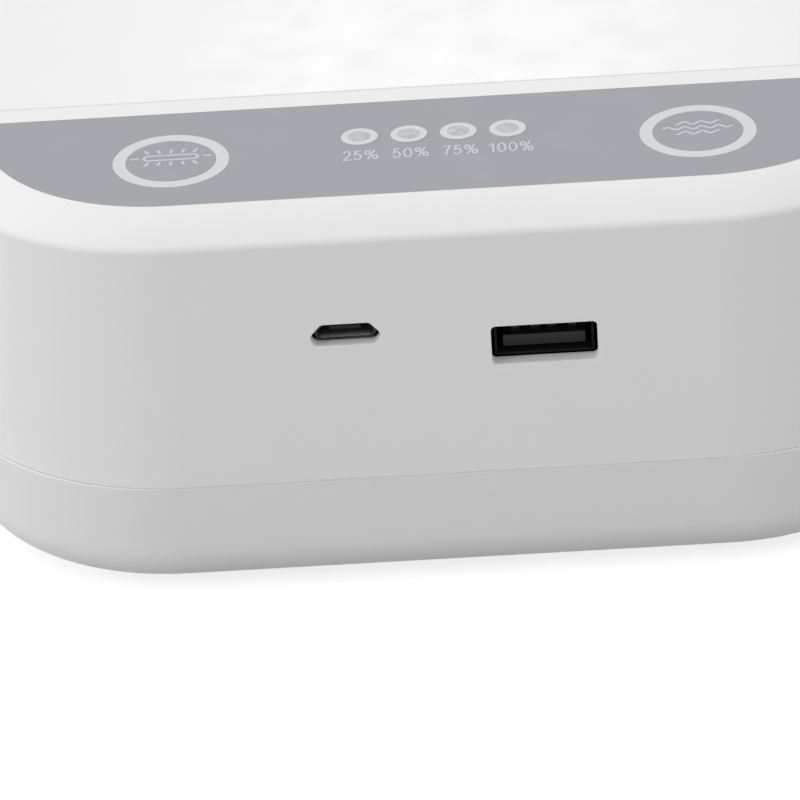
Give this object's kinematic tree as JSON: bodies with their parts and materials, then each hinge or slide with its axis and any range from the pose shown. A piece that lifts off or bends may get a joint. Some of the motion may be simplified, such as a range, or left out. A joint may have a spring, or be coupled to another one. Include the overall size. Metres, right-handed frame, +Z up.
{
  "type": "ultraviolet phone cleaning box",
  "caption": "Low rounded white box with a hinged lid over a mirrored chamber, a grey panel with push buttons in light rings, and sockets in the front wall.",
  "frame": {"origin": "on the table, under the middle of the whole outline with its hinge", "axes": "+Z up, -Y towards the control panel and sockets, +X to the right seen from the front"},
  "size_m": [0.125, 0.2265, 0.052],
  "materials": {
    "white_plastic": "fine satin moulding",
    "grey_panel": "smooth satin overlay",
    "milky_plastic": "translucent white",
    "mirror_plastic": "bright metallised",
    "glass_tube": "clear",
    "clear_plastic": "clear",
    "black_plastic": "satin",
    "steel": "plated",
    "brass_contact": "plated",
    "board": "solder mask",
    "diode": "moulded",
    "rubber": "matte",
    "felt": "pressed fibre",
    "ceramic": "fired plate",
    "tape": "wound tape",
    "cable": "flat cable"
  },
  "bodies": {
    "base": {"bottom_shell": "white_plastic", "upper_case": "white_plastic", "control_panel": "grey_panel", "uv_light_ring": "milky_plastic", "scent_light_ring": "milky_plastic", "indicator_rims": "milky_plastic", "indicator_lenses": "milky_plastic", "main_board": "board", "uv_switch": "black_plastic", "scent_switch": "black_plastic", "indicator_leds": "diode", "ring_leds": "diode", "control_chip": "black_plastic", "reed_sensor": "glass_tube", "usb_socket_shell": "steel", "usb_socket_tongue": "black_plastic", "usb_socket_contacts": "brass_contact", "micro_socket_shell": "steel", "micro_socket_tongue": "black_plastic", "board_screws": "steel", "chamber_tray": "mirror_plastic", "lid_seal": "rubber", "phone_rails": "clear_plastic", "base_lamp": "glass_tube", "base_lamp_holders": "white_plastic", "scent_cup": "white_plastic", "scent_pad": "felt", "scent_cap": "white_plastic", "scent_heater": "ceramic", "driver_board": "board", "driver_transformer": "tape", "driver_capacitors": "black_plastic", "driver_screws": "steel", "ribbon_cable": "cable", "case_screws": "steel", "feet": "rubber", "hinge_pins": "steel"},
    "lid": {"lid_shell": "white_plastic", "lid_liner": "mirror_plastic", "lid_lamp": "glass_tube", "lid_lamp_holders": "white_plastic", "lid_magnets": "steel", "liner_screws": "steel"},
    "uv_key": {"uv_button": "grey_panel", "uv_switch_plunger": "steel"},
    "scent_key": {"scent_button": "grey_panel", "scent_switch_plunger": "steel"}
  },
  "joints": [
    {"name": "lid_hinge", "type": "hinge", "parent": "base", "child": "lid", "pos_m": [0, 0.11025, 0.036], "axis": [-1, 0, 0], "range_deg": [0, 100]},
    {"name": "uv_key_slide", "type": "slide", "parent": "base", "child": "uv_key", "axis": [0, 0, -1], "range_m": [0, 0.0004], "stiffness_N_per_m": 3000, "springref_m": -0.0002},
    {"name": "scent_key_slide", "type": "slide", "parent": "base", "child": "scent_key", "axis": [0, 0, -1], "range_m": [0, 0.0004], "stiffness_N_per_m": 3000, "springref_m": -0.0002}
  ]
}
